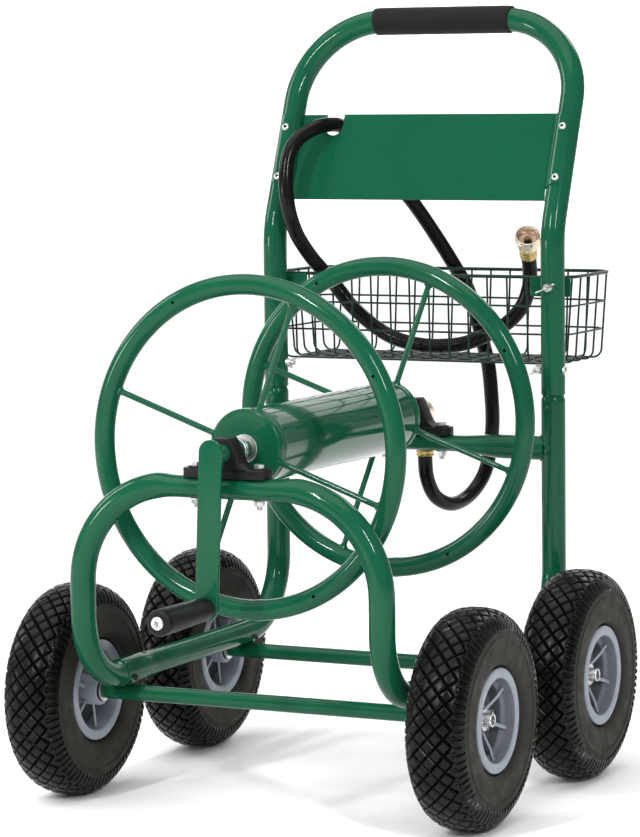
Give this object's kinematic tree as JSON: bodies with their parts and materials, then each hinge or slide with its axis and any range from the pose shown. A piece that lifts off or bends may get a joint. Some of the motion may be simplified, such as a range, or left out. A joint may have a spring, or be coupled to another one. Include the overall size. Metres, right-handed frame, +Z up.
{
  "type": "garden hose reel cart",
  "caption": "Tube-framed cart on pneumatic wheels with a hand-cranked hose reel, brass swivel and leader hose, wire basket, back panel and padded push handle.",
  "frame": {"origin": "on the ground under the middle of the cart's overall box, leader hose left out", "axes": "+Z up, -Y towards the crank, +Y towards the push handle, +X to the right seen from the crank"},
  "size_m": [0.59, 0.8541, 0.937],
  "materials": {
    "frame_paint": "gloss",
    "zinc": "satin zinc plate",
    "black_plastic": "satin",
    "grip_foam": "matt foam",
    "brass": "machined",
    "hose_rubber": "satin",
    "seal_rubber": "matt",
    "tyre_rubber": "matt",
    "wheel_plastic": "satin"
  },
  "bodies": {
    "cart_frame": {"front_loop": "frame_paint", "side_tube_left": "frame_paint", "side_tube_right": "frame_paint", "front_axle": "frame_paint", "rear_axle": "frame_paint", "crossbar": "frame_paint", "frame_screws": "zinc", "frame_nuts": "zinc", "handle_frame": "frame_paint", "handle_grip": "grip_foam", "joint_bolts": "zinc", "back_panel": "frame_paint", "panel_rivets": "zinc", "basket_rings": "frame_paint", "basket_cross_wires": "frame_paint", "basket_long_wires": "frame_paint", "basket_plates": "frame_paint", "basket_bolts": "zinc", "wing_nuts": "zinc", "front_block": "black_plastic", "rear_block": "black_plastic", "block_bolts": "zinc", "block_washers": "zinc", "block_nuts": "zinc", "wheel_washers": "zinc", "split_pins": "zinc", "swivel_elbow": "brass", "swivel_seal": "seal_rubber", "elbow_ferrule": "brass", "leader_hose": "hose_rubber", "coupling_ferrule": "brass", "coupling_tail": "brass", "coupling_gasket": "seal_rubber"},
    "reel": {"drum_tube": "frame_paint", "drum_cups": "frame_paint", "hoop_front": "frame_paint", "hoop_rear": "frame_paint", "spokes": "frame_paint", "reel_shaft": "frame_paint", "shaft_washers": "zinc", "shaft_collars": "zinc", "feed_pipe": "brass", "hose_outlet": "brass", "crank_arm": "frame_paint", "grip_bolt": "zinc", "grip_nut": "zinc"},
    "crank_grip": {"crank_grip": "black_plastic"},
    "coupling_nut": {"coupling_nut": "brass"},
    "wheel_fl": {"tyre_fl": "tyre_rubber", "rim_fl": "wheel_plastic", "bushes_fl": "black_plastic"},
    "wheel_fr": {"tyre_fr": "tyre_rubber", "rim_fr": "wheel_plastic", "bushes_fr": "black_plastic"},
    "wheel_rl": {"tyre_rl": "tyre_rubber", "rim_rl": "wheel_plastic", "bushes_rl": "black_plastic"},
    "wheel_rr": {"tyre_rr": "tyre_rubber", "rim_rr": "wheel_plastic", "bushes_rr": "black_plastic"}
  },
  "joints": [
    {"name": "reel_spin", "type": "hinge", "parent": "cart_frame", "child": "reel", "pos_m": [0, 0, 0.43], "axis": [0, 1, 0], "continuous": true},
    {"name": "grip_spin", "type": "hinge", "parent": "reel", "child": "crank_grip", "pos_m": [-0.00755, -0.35, 0.25716], "axis": [0, 1, 0], "continuous": true},
    {"name": "wheel_fl_spin", "type": "hinge", "parent": "cart_frame", "child": "wheel_fl", "pos_m": [-0.258, -0.158, 0.127], "axis": [1, 0, 0], "continuous": true},
    {"name": "wheel_fr_spin", "type": "hinge", "parent": "cart_frame", "child": "wheel_fr", "pos_m": [0.258, -0.158, 0.127], "axis": [1, 0, 0], "continuous": true},
    {"name": "wheel_rl_spin", "type": "hinge", "parent": "cart_frame", "child": "wheel_rl", "pos_m": [-0.258, 0.162, 0.127], "axis": [1, 0, 0], "continuous": true},
    {"name": "wheel_rr_spin", "type": "hinge", "parent": "cart_frame", "child": "wheel_rr", "pos_m": [0.258, 0.162, 0.127], "axis": [1, 0, 0], "continuous": true},
    {"name": "coupling_nut_spin", "type": "hinge", "parent": "cart_frame", "child": "coupling_nut", "pos_m": [0.14271, 0.28493, 0.64353], "axis": [0.2706, -0.7071, 0.6533], "continuous": true}
  ]
}
